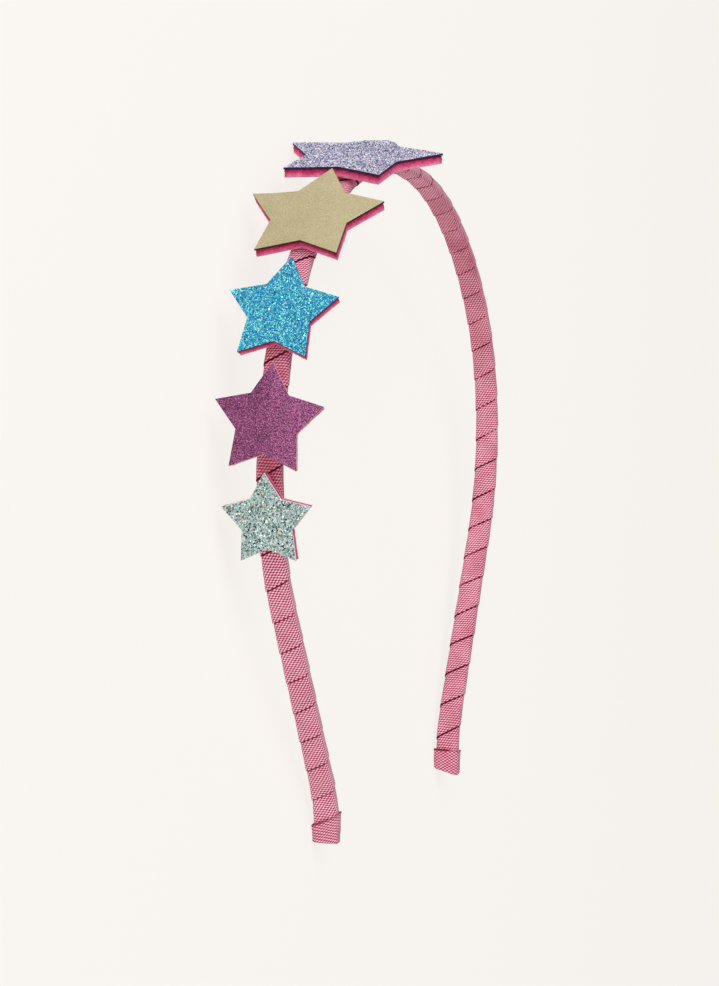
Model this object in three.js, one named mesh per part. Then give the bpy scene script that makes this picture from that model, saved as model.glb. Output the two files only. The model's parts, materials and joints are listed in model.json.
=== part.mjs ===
// Star headband: a narrow ribbon-wrapped hair band with five felt stars glued along one side.
// Lengths are millimetres and angles are degrees.
//
// The band is drawn in its own frame first: the crown is at the origin, +Z is up towards the crown,
// +X runs from the arm that carries the stars to the plain arm, and +Y runs across the band.
// The finished headband is then laid on its side, as it rests by itself, with +Z up.
import * as THREE from 'three';

// Centreline of the band, from the crown down one arm; both arms are alike but for their reach
const CROWN_RADIUS = 68;
const CROWN_TURN = 57;
const SHOULDER_RADIUS = 48;
const SHOULDER_TURN = 61.5;
const ARM_LENGTH = 40;
const TIP_RADIUS = 27;
const TIP_TURN = 28.5;

// Sideways bow of the crown, pulled across by the stiff stars: how far, where, and over what length
const BOW = 1.6;
const BOW_PLACE = -32;
const BOW_REACH = 60;

// Section of the wrapped band
const BAND_WIDTH = 5.1;
const BAND_THICKNESS = 2.2;
const BAND_CORNER = 0.95;

// Ribbon wound round the band: each turn laps the next one down its arm
const WRAP_PITCH = 6.9;
const WRAP_PHASE = 0.7;
const WRAP_STEP = 0.15;
const WRAP_EDGE = 0.2;

// Folded ribbon cap on each tip, slipped over a bare tongue of the band
const CAP_LENGTH = 4.7;
const CAP_WIDTH = 5.7;
const CAP_THICKNESS = 2.9;
const CAP_CORNER = 1.0;
const CAP_WALL = 0.55;
const CAP_FLOOR = 0.8;
const CAP_END_ROUND = 0.35;
const CAP_GAP = 0.25;

// One row an arm. reach: how much further the arm runs than its bends give. mouthSlant and
// endSlant: how far the cap's mouth and its closed end are out of square with the band.
const ARMS = [
  { name: 'star_arm', side: -1, reach: 0, mouthSlant: 26, endSlant: 0 },
  { name: 'plain_arm', side: 1, reach: 1, mouthSlant: 0, endSlant: 14 }
];

// Stars: a thick felt star with a thin finished skin of the same outline glued on top
const FELT_THICKNESS = 1.6;
const SKIN_THICKNESS = 0.3;
const FELT_INSET = 0.12;
const GLUE_GAP = 0.2;
const SEAT_GAP = 0.25;
const TIP_ROUND = 0.03;
const FELT_EDGE_ROUND = 0.2;
const SKIN_EDGE_ROUND = 0.06;
const CURL_START = 0.4;
const FIRST_STAR_PLACE = 15.5;

// One row a star, from the crown down the arm. radius: centre to tip. notch: share of the radius
// at the inner corners. gap: free length of band between this star's tip and the notch of the
// one before. across: offset across the band. spin, lean, roll: turn on the band and tilt along
// and across it. droop: how far the side tips sag. curled: which tip is bent, counted round from
// the one nearest the crown, and lift: how far it rises. Both are shares of the radius.
const STARS = [
  { name: 'lilac', radius: 16.7, notch: 0.587, gap: 0, across: -0.3, spin: -0.7, lean: 2.3, roll: 4.1,
    droop: 0, curled: 0, lift: -0.077, skin: 'glitter', color: 0xb2b4d6, roughness: 0.45, metalness: 0.2 },
  { name: 'gold', radius: 13.6, notch: 0.57, gap: 3.15, across: 0.45, spin: -1.5, lean: 3.7, roll: 2.4,
    droop: 0, curled: 1, lift: 0.057, skin: 'leather', color: 0xc3b987, roughness: 0.5, metalness: 0.3 },
  { name: 'azure', radius: 10.9, notch: 0.557, gap: 4.45, across: 0.15, spin: -3.4, lean: 6.9, roll: 4.4,
    droop: 0, curled: 0, lift: 0, skin: 'glitter', color: 0x3ea2c9, roughness: 0.45, metalness: 0.2 },
  { name: 'purple', radius: 10.6, notch: 0.553, gap: 3.05, across: 0.05, spin: -2.7, lean: 1.2, roll: 6.9,
    droop: 0.04, curled: 0, lift: 0, skin: 'leather', color: 0x8a3f74, roughness: 0.4, metalness: 0.4 },
  { name: 'silver', radius: 8.8, notch: 0.554, gap: 2.1, across: 0.3, spin: 1.2, lean: -3.4, roll: 4.3,
    droop: 0, curled: 0, lift: 0, skin: 'glitter', color: 0xa9c2be, roughness: 0.35, metalness: 0.4 }
];

const RIBBON = { color: 0xcf6a8e, roughness: 0.75, metalness: 0 };
const FELT = { color: 0xc2385f, roughness: 0.95, metalness: 0 };

// Fineness of the facets
const CORNER_POINTS = 4;
const TIP_POINTS = 3;
const POINTS = 5;

const rad = THREE.MathUtils.degToRad;

// Stretches of one arm's centreline, from the crown down; the last one runs on to the tip
const BENDS = [
  { length: CROWN_RADIUS * rad(CROWN_TURN), curvature: 1 / CROWN_RADIUS },
  { length: SHOULDER_RADIUS * rad(SHOULDER_TURN), curvature: 1 / SHOULDER_RADIUS },
  { length: ARM_LENGTH, curvature: 0 },
  { length: Infinity, curvature: -1 / TIP_RADIUS }
];
const HALF_LENGTH = BENDS.slice(0, -1).reduce((sum, bend) => sum + bend.length, TIP_RADIUS * rad(TIP_TURN));

// Place on the centreline at a length from the crown, negative down the star arm
function centreline(along) {
  const side = Math.sign(along) || 1;
  const place = { x: 0, z: 0, angle: 0, curvature: BENDS[0].curvature };
  let left = Math.abs(along);
  for (const { length, curvature } of BENDS) {
    if (left <= 0) break;
    const step = Math.min(left, length);
    const half = step * curvature / 2;
    const chord = curvature === 0 ? step : 2 * Math.sin(half) / curvature;
    place.x += chord * Math.cos(place.angle + half);
    place.z -= chord * Math.sin(place.angle + half);
    place.angle += 2 * half;
    place.curvature = curvature;
    left -= step;
  }
  return { x: side * place.x, z: place.z, angle: side * place.angle, curvature: place.curvature };
}

// Offset of the centreline across the band, and its slope along it
function sidewaysBow(along) {
  const turn = THREE.MathUtils.clamp((along - BOW_PLACE) / BOW_REACH, -1, 1) * Math.PI / 2;
  return { y: BOW * Math.cos(turn) ** 2, slope: -BOW * Math.sin(2 * turn) * Math.PI / (2 * BOW_REACH) };
}

// Frame of the band at a place: X across it, Y along it towards the plain arm's tip, Z outwards
function bandFrame(along) {
  const { x, z, angle } = centreline(along);
  const { y, slope } = sidewaysBow(along);
  const forward = new THREE.Vector3(Math.cos(angle), slope, -Math.sin(angle)).normalize();
  const outward = new THREE.Vector3(Math.sin(angle), 0, Math.cos(angle));
  const across = forward.clone().cross(outward);
  return new THREE.Matrix4().makeBasis(across, forward, outward).setPosition(x, y, z);
}

// Rounded rectangle across the band, as the corners of its outline from outside to edge to inside
function roundedSection(width, thickness, corner) {
  const points = [];
  for (let quarter = 0; quarter < 4; quarter++) {
    const right = quarter === 0 || quarter === 3 ? 1 : -1;
    const top = quarter < 2 ? 1 : -1;
    for (let i = 0; i < CORNER_POINTS; i++) {
      const turn = (quarter + i / (CORNER_POINTS - 1)) * Math.PI / 2;
      points.push(new THREE.Vector2(
        right * (width / 2 - corner) + corner * Math.cos(turn),
        -top * (thickness / 2 - corner) - corner * Math.sin(turn)));
    }
  }
  return points;
}

// Share of the way round a section at which each of its points lies
function sharesRound(section) {
  const shares = [0];
  section.forEach((point, i) => {
    shares.push(shares[i] + point.distanceTo(section[(i + 1) % section.length]));
  });
  const whole = shares.pop();
  return shares.map(share => share / whole);
}

// Point of a section set square to the band, or slid along it by a slope across its width
function onBand(along, point, slope = 0) {
  return new THREE.Vector3(point.x, 0, point.y).applyMatrix4(bandFrame(along + slope * point.x));
}

// Collects the points and faces of one closed skin
class Skin {
  constructor() {
    this.points = [];
    this.faces = [];
  }

  add(points) {
    const first = this.points.length;
    this.points.push(...points);
    return points.map((point, i) => first + i);
  }

  quad(a, b, c, d) {
    this.faces.push([a, b, c], [a, c, d]);
  }

  bridge(from, to) {
    from.forEach((point, i) => {
      const next = (i + 1) % from.length;
      this.quad(point, from[next], to[next], to[i]);
    });
  }

  fan(ring, centre) {
    const [hub] = this.add([centre]);
    ring.forEach((point, i) => this.faces.push([hub, point, ring[(i + 1) % ring.length]]));
  }

  geometry() {
    const geometry = new THREE.BufferGeometry();
    geometry.setAttribute('position', new THREE.Float32BufferAttribute(this.points.flatMap(p => p.toArray()), 3));
    geometry.setIndex(this.faces.flat());
    geometry.computeVertexNormals();
    return geometry;
  }
}

function middle(points) {
  const sum = points.reduce((total, point) => total.add(point), new THREE.Vector3());
  return sum.divideScalar(points.length);
}

// Skin through a run of rings, closed at both ends
function throughRings(rings) {
  const skin = new Skin();
  const rows = rings.map(ring => skin.add(ring));
  rows.slice(1).forEach((row, i) => skin.bridge(rows[i], row));
  skin.fan(rows[0].toReversed(), middle(rings[0]));
  skin.fan(rows.at(-1), middle(rings.at(-1)));
  return skin.geometry();
}

const BAND_SECTION = roundedSection(BAND_WIDTH, BAND_THICKNESS, BAND_CORNER);
const BAND_SHARES = sharesRound(BAND_SECTION);
const TONGUE_SECTION = roundedSection(
  CAP_WIDTH - 2 * (CAP_WALL + CAP_GAP), CAP_THICKNESS - 2 * (CAP_WALL + CAP_GAP),
  Math.min(BAND_CORNER, CAP_THICKNESS / 2 - CAP_WALL - CAP_GAP) * 0.9);

// Where an arm's tip is at a depth inside its closed end, and where its wrapping stops at the cap's
// mouth, each with the slope of that edge across the band
function armTip({ side, reach, endSlant }, depth = 0) {
  return { along: side * (HALF_LENGTH + reach - depth), slope: Math.tan(rad(endSlant)) };
}

function capMouth({ side, reach, mouthSlant }) {
  return { along: side * (HALF_LENGTH + reach - CAP_LENGTH), slope: Math.tan(rad(mouthSlant)) };
}

// One seam of the winding runs round and round the band. At a seam the surface drops by a step,
// and from there it climbs to the next seam. Each turn laps the one below it on its arm.
function wrappedBand() {
  const round = BAND_SECTION.length;
  const [start, end] = ARMS.map(capMouth);
  const [startTip, endTip] = ARMS.map(arm => armTip(arm, CAP_FLOOR + CAP_GAP));
  const margin = BAND_WIDTH * Math.max(Math.abs(start.slope), Math.abs(end.slope)) / 2 + WRAP_EDGE;
  const under = roundedSection(BAND_WIDTH - 2 * WRAP_STEP, BAND_THICKNESS - 2 * WRAP_STEP, BAND_CORNER - WRAP_STEP);
  const firstTurn = Math.ceil((start.along + margin) / WRAP_PITCH - WRAP_PHASE);
  const turns = Math.floor((end.along - margin) / WRAP_PITCH - WRAP_PHASE) - firstTurn;

  const skin = new Skin();
  const ring = (section, { along, slope }) => skin.add(section.map(point => onBand(along, point, slope)));
  const before = [];
  const after = [];
  for (let n = 0; n < turns * round; n++) {
    const i = n % round;
    const along = WRAP_PITCH * (firstTurn + Math.floor(n / round) + BAND_SHARES[i] + WRAP_PHASE);
    const [low, high] = along > 0 ? [BAND_SECTION, under] : [under, BAND_SECTION];
    before.push(onBand(along - WRAP_EDGE / 2, low[i]));
    after.push(onBand(along + WRAP_EDGE / 2, high[i]));
  }
  const first = skin.add(before);
  const second = skin.add(after);
  const last = first.length - 1;
  for (let n = 0; n < last; n++) skin.quad(first[n], first[n + 1], second[n + 1], second[n]);
  for (let n = 0; n + round < last; n++) skin.quad(second[n], second[n + 1], first[n + round + 1], first[n + round]);

  // the end of the winding on the star arm, its cut edge, and the tongue
  const startRing = ring(BAND_SECTION, start);
  for (let i = 0; i < round; i++) skin.quad(startRing[i], startRing[(i + 1) % round], first[i + 1], first[i]);
  skin.quad(startRing[0], first[0], second[0], first[round]);
  const startTongue = [
    ring(TONGUE_SECTION, startTip),
    ring(TONGUE_SECTION, start)
  ];
  skin.bridge(startTongue[0], startTongue[1]);
  skin.bridge(startTongue[1], startRing);
  skin.fan(startTongue[0].toReversed(), middle(startTongue[0].map(n => skin.points[n])));

  // the same on the plain arm
  const endRing = ring(BAND_SECTION, end);
  const tail = last - round;
  for (let j = 0; j < round; j++) {
    skin.quad(second[tail + j], second[tail + j + 1], endRing[(last + j + 1) % round], endRing[(last + j) % round]);
  }
  skin.quad(endRing[last % round], second[last], first[last], second[tail]);
  const endTongue = [
    ring(TONGUE_SECTION, end),
    ring(TONGUE_SECTION, endTip)
  ];
  skin.bridge(endRing, endTongue[0]);
  skin.bridge(endTongue[0], endTongue[1]);
  skin.fan(endTongue[1], middle(endTongue[1].map(n => skin.points[n])));
  return skin.geometry();
}

// A pocket of folded ribbon, from the bottom of its hollow round its mouth to its closed end
function tipCap(arm) {
  const mouth = capMouth(arm);
  mouth.along += arm.side * CAP_GAP;
  const pocketWidth = CAP_WIDTH - 2 * CAP_WALL;
  const pocketThickness = CAP_THICKNESS - 2 * CAP_WALL;
  const pocket = roundedSection(pocketWidth, pocketThickness, Math.min(CAP_CORNER, pocketThickness / 2) * 0.9);
  const outside = roundedSection(CAP_WIDTH, CAP_THICKNESS, CAP_CORNER);
  const rounded = roundedSection(
    CAP_WIDTH - 2 * CAP_END_ROUND, CAP_THICKNESS - 2 * CAP_END_ROUND, CAP_CORNER - CAP_END_ROUND);
  const rings = [
    { section: pocket, ...armTip(arm, CAP_FLOOR) },
    { section: pocket, ...mouth },
    { section: outside, ...mouth },
    { section: outside, ...armTip(arm, CAP_END_ROUND) },
    { section: rounded, ...armTip(arm) }
  ].map(({ section, along, slope }) => section.map(point => onBand(along, point, slope)));
  // the sections run round the other way where the cap points down the star arm
  return throughRings(arm.side > 0 ? rings : rings.map(ring => ring.toReversed()));
}

// Outline of a star: rounded tips, a point halfway down each edge, and the inner corners
function starOutline(radius, notch) {
  const outline = [];
  const corner = radius * notch;
  const at = (length, angle) => new THREE.Vector2(-length * Math.sin(angle), length * Math.cos(angle));
  for (let tip = 0; tip < POINTS; tip++) {
    const angle = tip * 2 * Math.PI / POINTS;
    const before = at(corner, angle - Math.PI / POINTS);
    const after = at(corner, angle + Math.PI / POINTS);
    const point = at(radius, angle);
    const shoulders = [before, after].map(end => point.clone().lerp(end, 2 * TIP_ROUND));
    const rounding = new THREE.QuadraticBezierCurve(shoulders[0], point, shoulders[1]);
    outline.push(before, before.clone().lerp(point, 0.5), ...rounding.getPoints(TIP_POINTS - 1));
    outline.push(point.clone().lerp(after, 0.5));
  }
  return outline;
}

// How far a star's surface stands off its flat plane: side tips droop, and one tip is bent
function starBend({ radius, droop, curled, lift }, point) {
  const angle = curled * 2 * Math.PI / POINTS;
  const sideways = point.x / radius;
  const outwards = (point.y * Math.cos(angle) - point.x * Math.sin(angle)) / radius;
  const bent = Math.max(outwards - CURL_START, 0) / (1 - CURL_START);
  return radius * (lift * bent ** 2 - droop * sideways ** 2);
}

// Flat star plate, slightly rounded at its edges, from its underside up
function starPlate(star, bottom, thickness, inset, edge) {
  const outline = starOutline(star.radius - inset, star.notch);
  const full = outline.map(point => point.length()).reduce((a, b) => Math.max(a, b));
  const ring = (share, height) => outline.map(point => {
    const flat = point.clone().multiplyScalar(share);
    return new THREE.Vector3(flat.x, flat.y, height + starBend(star, flat));
  });
  const rim = 1 - edge / full;
  const top = bottom + thickness;
  return throughRings([
    ring(0.45, bottom), ring(0.8, bottom), ring(rim, bottom), ring(1, bottom + edge),
    ring(1, top - edge), ring(rim, top), ring(0.8, top), ring(0.45, top)
  ]);
}

function named(name, geometry, look) {
  const mesh = new THREE.Mesh(geometry, new THREE.MeshStandardMaterial(look));
  mesh.name = name;
  return mesh;
}

// Height at which a star's flat back clears the band: the band's own height in the direction
// of the tilted back, plus what its curve takes up when the star leans along it
function seatHeight({ lean, roll }, curvature) {
  const flatWidth = BAND_WIDTH / 2 - BAND_CORNER;
  const flatThickness = BAND_THICKNESS / 2 - BAND_CORNER;
  const section = flatWidth * Math.abs(Math.sin(rad(roll))) + flatThickness * Math.cos(rad(roll)) + BAND_CORNER;
  const curve = curvature === 0 ? 0 : (1 - Math.cos(rad(lean))) / Math.abs(curvature);
  return section + curve + SEAT_GAP;
}

function glueStar(star, along) {
  const seat = new THREE.Group();
  bandFrame(along).decompose(seat.position, seat.quaternion, seat.scale);
  const tilt = new THREE.Group();
  tilt.position.x = star.across;
  tilt.rotation.set(rad(star.lean), rad(star.roll), 0);
  const turn = new THREE.Group();
  turn.rotation.z = rad(star.spin);
  const height = seatHeight(star, centreline(along).curvature);
  const skinHeight = height + FELT_THICKNESS + GLUE_GAP;
  const { name, skin, color, roughness, metalness } = star;
  const felt = starPlate(star, height, FELT_THICKNESS, FELT_INSET, FELT_EDGE_ROUND);
  const face = starPlate(star, skinHeight, SKIN_THICKNESS, 0, SKIN_EDGE_ROUND);
  turn.add(named(`${name}_felt`, felt, FELT));
  turn.add(named(`${name}_${skin}`, face, { color, roughness, metalness }));
  tilt.add(turn);
  seat.add(tilt);
  return seat;
}

// The stars follow each other down the arm, each set by its size and the gap before it
function glueStars(group) {
  let place = FIRST_STAR_PLACE;
  STARS.forEach((star, i) => {
    const above = STARS[i - 1];
    if (above) place += above.radius * above.notch + star.gap + star.radius;
    group.add(glueStar(star, -place));
  });
}

// All corner points of the parts, and the centre of their volume, in the group's own frame
function cornersAndCentre(group) {
  const corners = [];
  const centre = new THREE.Vector3();
  let volume = 0;
  group.updateMatrixWorld(true);
  group.traverse(mesh => {
    if (!mesh.isMesh) return;
    const position = mesh.geometry.getAttribute('position');
    const own = [];
    for (let i = 0; i < position.count; i++) {
      own.push(new THREE.Vector3().fromBufferAttribute(position, i).applyMatrix4(mesh.matrixWorld));
    }
    const index = mesh.geometry.getIndex();
    for (let i = 0; i < index.count; i += 3) {
      const [a, b, c] = [0, 1, 2].map(j => own[index.getX(i + j)]);
      const wedge = a.dot(b.clone().cross(c)) / 6;
      volume += wedge;
      centre.addScaledVector(a.clone().add(b).add(c), wedge / 4);
    }
    corners.push(...own);
  });
  return { corners, centre: centre.divideScalar(volume) };
}

// Heights over a point of the plane through three points, as the weights of the three
function weights([a, b, c], x, y) {
  const whole = (b.x - a.x) * (c.y - a.y) - (c.x - a.x) * (b.y - a.y);
  const forB = ((x - a.x) * (c.y - a.y) - (c.x - a.x) * (y - a.y)) / whole;
  const forC = ((b.x - a.x) * (y - a.y) - (x - a.x) * (b.y - a.y)) / whole;
  return [1 - forB - forC, forB, forC];
}

function heightOver(three, x, y) {
  const shares = weights(three, x, y);
  return three.reduce((sum, point, i) => sum + shares[i] * point.z, 0);
}

// The three corner points that a rigid thing rests on: no corner is below their plane, and the
// centre of its weight is above the triangle between them. It starts from three points far out
// and high up, and lowers one at a time.
function restingPoints(corners, centre) {
  const far = 1000;
  let three = [0, 1, 2].map(i => new THREE.Vector3(
    centre.x + far * Math.cos(i * 2 * Math.PI / 3), centre.y + far * Math.sin(i * 2 * Math.PI / 3), far));
  for (;;) {
    const depth = point => heightOver(three, point.x, point.y) - point.z;
    const lowest = corners.reduce((best, point) => (depth(point) > depth(best) ? point : best));
    if (depth(lowest) < 1e-6) return three;
    const choices = [0, 1, 2].map(i => three.with(i, lowest));
    const inside = choice => Math.min(...weights(choice, centre.x, centre.y));
    three = choices.reduce((best, choice) => (inside(choice) > inside(best) ? choice : best));
  }
}

// Lays the group on its side, turns it onto its resting points, and sets it down with the middle
// of its box over the origin
function layDown(group) {
  const onSide = new THREE.Matrix4().makeBasis(
    new THREE.Vector3(1, 0, 0), new THREE.Vector3(0, 0, -1), new THREE.Vector3(0, 1, 0));
  const { corners, centre } = cornersAndCentre(group);
  [...corners, centre].forEach(point => point.applyMatrix4(onSide));
  const [a, b, c] = restingPoints(corners, centre);
  const up = b.clone().sub(a).cross(c.clone().sub(a)).normalize();
  if (up.z < 0) up.negate();
  const right = new THREE.Vector3(1, 0, 0).addScaledVector(up, -up.x).normalize();
  const settled = new THREE.Matrix4().makeBasis(right, up.clone().cross(right), up).transpose();
  group.quaternion.setFromRotationMatrix(settled.clone().multiply(onSide));
  const box = new THREE.Box3().setFromPoints(corners.map(point => point.applyMatrix4(settled)));
  const foot = box.getCenter(new THREE.Vector3()).setZ(box.min.z);
  group.position.copy(foot.negate());
}

const headband = new THREE.Group();
headband.add(named('wrapped_band', wrappedBand(), RIBBON));
ARMS.forEach(arm => headband.add(named(`${arm.name}_cap`, tipCap(arm), RIBBON)));
glueStars(headband);
layDown(headband);

export default headband;
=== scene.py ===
"""Looks of the star headband: grosgrain ribbon wound round a thin band, folded ribbon caps on its
tips, and five felt stars faced with glitter sheet and metallic leather.

Sizes are millimetres and angles degrees. The band is made in its own frame, with the crown at the
origin, +Z up to the crown and +X from the arm with the stars to the plain arm. It is then laid on
its side, where the frame has it.
"""
import json
import math

import bmesh
import bpy
import numpy as np
from mathutils import Matrix, Vector
from mathutils.bvhtree import BVHTree


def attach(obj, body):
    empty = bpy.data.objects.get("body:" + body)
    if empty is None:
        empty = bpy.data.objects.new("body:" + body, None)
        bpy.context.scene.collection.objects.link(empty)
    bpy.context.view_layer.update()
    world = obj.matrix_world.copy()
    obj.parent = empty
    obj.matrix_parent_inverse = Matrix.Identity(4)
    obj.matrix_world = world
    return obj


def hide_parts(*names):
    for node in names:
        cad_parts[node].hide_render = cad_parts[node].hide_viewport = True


MM = 0.001

# Photograph: its size, the camera's place about the band, and the pixel where the crown is
PHOTO_SIZE = (719, 986)
CAMERA_TURN = 20.0
CAMERA_RISE = 5.762
CAMERA_DISTANCE = 495.8
FOCAL_PIXELS = 2507.7
CROWN_PIXEL = (391.97, 165.34)
SENSOR = 36.0

# Centreline of the band, from the crown down one arm
CROWN_RADIUS = 68.0
CROWN_TURN = 57.0
SHOULDER_RADIUS = 48.0
SHOULDER_TURN = 61.5
ARM_LENGTH = 40.0
TIP_RADIUS = 27.0
TIP_TURN = 28.5
BOW = 1.6
BOW_PLACE = -32.0
BOW_REACH = 60.0
REST_TILT = 6.088

# Section of the wrapped band, and the ribbon wound on it
BAND_WIDTH = 5.1
BAND_THICKNESS = 2.2
BAND_CORNER = 0.95
WRAP_PITCH = 6.9
WRAP_PHASE = 0.7
RIBBON_THICKNESS = 0.2
RIBBON_LAP = 0.9
RIBBON_STEP = 0.16
CREVICE_DEPTH = 0.1
CREVICE_REACH = 0.35
SELVEDGE_ROUND = 0.09
LAP_CHANGE = 6.0
WRAP_WANDER = 0.14
RIPPLE = 0.02
CORE_DEPTH = 0.46

# Dark lines painted at the seams, painted shade in the crevices between turns along with the darker selvedge:
# widths on the lower turn, and on the raised one at the tips and the crown
SEAM_LINE = 0.23
RAISED_LINE = 0.1
CROWN_LINE = 0.42
CROWN_LINE_REACH = 60.0
SEAM_BLUR = 0.5

# Caps folded over the tips: one row an arm
CAP_LENGTH = 4.7
CAP_WIDTH = 5.7
CAP_THICKNESS = 2.9
CAP_CORNER = 1.0
CAP_WALL = 0.55
CAP_FLOOR = 0.8
CAP_GAP = 0.25
CAP_END_ROUND = 0.35
CAP_SKIN = 0.27
CAP_HOLD = 1.2
CAP_WAIST = 0.1
CAP_HEM = 0.055
CAP_BELLY = 0.06
CAP_CREASE = 0.03
CAP_KNOB = 0.16
CAP_KNOB_REACH = 0.7
CAP_ARC = 16.0
CAP_LEAST_CORNER = 0.15
CAP_POCKET_SHARES = (0.45, 0.36)
CAP_SIDE_FROM = 0.08
CAP_END_INSETS = (0.75, 1.05, 1.3)
# Painted shade along each cap's mouth: a darker crimson line on the ribbon going in and on the lip
MOUTH_LINE = 0.34
MOUTH_BLUR = 1.0
MOUTH_SHADE = 0.6
ARMS = {
    "star_arm": {"side": -1, "reach": 0.0, "mouth_slant": 26.0, "end_slant": 0.0, "taper": 0.14},
    "plain_arm": {"side": 1, "reach": 1.0, "mouth_slant": 0.0, "end_slant": 14.0, "taper": 0.03},
}

# Weave of the ribbon: the ribs across it, and the threads that float over every second rib
RIB_PITCH = 0.52
THREAD_PITCH = 0.29

# Painted shade, a deeper tone where the ribbon is out of the light: inside the band and under the stars; the
# caps are painted a little darker, more on their inner faces
INSIDE_SHADE = 0.24
INSIDE_SHADE_LOW = 0.12
INSIDE_SHADE_START = 14.0
INSIDE_SHADE_CHANGE = 28.0
STAR_SHADOW_SPAN = (-108.0, -58.0)
STAR_SHADOW_BLUR = 5.0
STAR_SHADOW_STRENGTH = 0.22
CAP_SHADE = 0.12

# Painted sheen: greyer sides of the band, less so past the crown on the plain arm
SIDE_SHEEN_FROM = 0.8
SIDE_SHEEN_LESS = 0.6
SIDE_SHEEN_CHANGE = 20.0

# Stars: each one's facing, and how much its felt is drawn in under it
POINTS = 5
STARS = {
    "lilac": ("glitter", 0.08),
    "gold": ("leather", 0.08),
    "azure": ("glitter", 0.08),
    "purple": ("leather", 0.28),
    "silver": ("glitter", 0.08),
}
FELT_DEPTH = 1.58
FELT_EDGE_ROUND = 0.24
FELT_ROUGHNESS = 0.045
SKIN_DEPTH = 0.46
SKIN_CUT_FROM = 0.05
LEATHER_EDGE_ROUND = 0.1
LEATHER_ROUGHNESS = 0.006
GLITTER_EDGE_ROUND = 0.07
GLITTER_ROUGHNESS = 0.012
ROUGH_ASIDE = 0.4
ROUGH_UP = 0.5
JUST_INSIDE = 0.985
RAY_REACH = 20.0
# Painted light: each star's face painted lighter on its side towards this direction, as if lit from it
PAINTED_LIGHT_TOWARDS = Vector((0.34, -0.1, 0.93))
PAINTED_LIGHT_SLOPE = 3.0
PAINTED_LIGHT_START = 0.4

# Felt fibres at the cut edge, and glitter flakes
FIBRES_PER_RADIUS = 150
FIBRE_LENGTHS = (0.2, 0.6)
FIBRE_RADII = (0.008, 0.014)
FIBRE_OUT = (0.3, 1.0)
FIBRE_ASIDE = 0.8
FIBRE_RISE = 0.5
FIBRE_BEND = 0.25
FIBRE_TAPER = 0.8
FIBRE_ROOT = 0.995
FIBRE_BELOW_TOP = 0.15
FIBRE_ABOVE_BACK = 0.1
FIBRE_KNOTS = 4
FIBRE_SIDES = 3
FLAKE_SIDES = 6
FLAKE_LEAST = 0.6
FLAKE_SPREAD = 0.8
FLAKE_TIP_LIFT = 0.7
FLAKE_THICKNESS = 0.05
FLAKE_LIFT = 0.02
FLAKE_MARGIN = 0.12
FLAKE_SHIFT = 0.35

# Fineness of the meshes
ROUND_STEPS = 40
RAISED_EDGE = (0, 0.02, 0.05, 0.09, 0.14, 0.22, 0.35, 0.6, 1.0, 1.6, 2.4)
LAPPED_EDGE = (0, 0.4, 0.75, 0.88, 0.94, 1.0, 1.07, 1.15, 1.3, 1.65, 2.4)
MIDDLE_STATIONS = 5
UNDERSIDE_STATIONS = 6
CAP_ROUND = 48
CAP_LIP_RINGS = 7
CAP_SIDE_RINGS = 14
CAP_END_RINGS = 6
EDGE_STATIONS = 14
EDGE_EASE = 0.8
EDGE_TURNS = (0, 30, 60, 90)
EDGE_HALVINGS = 14
SIDE_ROW = 0.28
FACE_ROWS = (0.12, 0.3, 0.5, 0.7, 0.85, 0.93, 0.975)
CORE_ROUND = 16
CORE_STATIONS = 140
FLOOR_HALF = 1.6


def rgb(red, green, blue):
    """A colour seen on a screen, 0 to 255, as the linear values that a shader takes."""
    values = (red / 255, green / 255, blue / 255)
    return tuple(v / 12.92 if v <= 0.04045 else ((v + 0.055) / 1.055) ** 2.4 for v in values) + (1.0,)


# Shader maths


class Value:
    """A shader socket. An expression on it adds the Math nodes that work it out."""

    def __init__(self, finish, socket):
        self.finish = finish
        self.socket = socket

    def math(self, operation, *values):
        return self.finish.node("ShaderNodeMath", {"operation": operation}, *values)

    def __add__(self, other):
        return self.math("ADD", self, other)

    def __radd__(self, other):
        return self.math("ADD", other, self)

    def __sub__(self, other):
        return self.math("SUBTRACT", self, other)

    def __rsub__(self, other):
        return self.math("SUBTRACT", other, self)

    def __mul__(self, other):
        return self.math("MULTIPLY", self, other)

    def __rmul__(self, other):
        return self.math("MULTIPLY", other, self)

    def cosine(self):
        return self.math("COSINE", self)

    def clamped(self):
        return self.math("MINIMUM", self.math("MAXIMUM", self, 0.0), 1.0)


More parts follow.
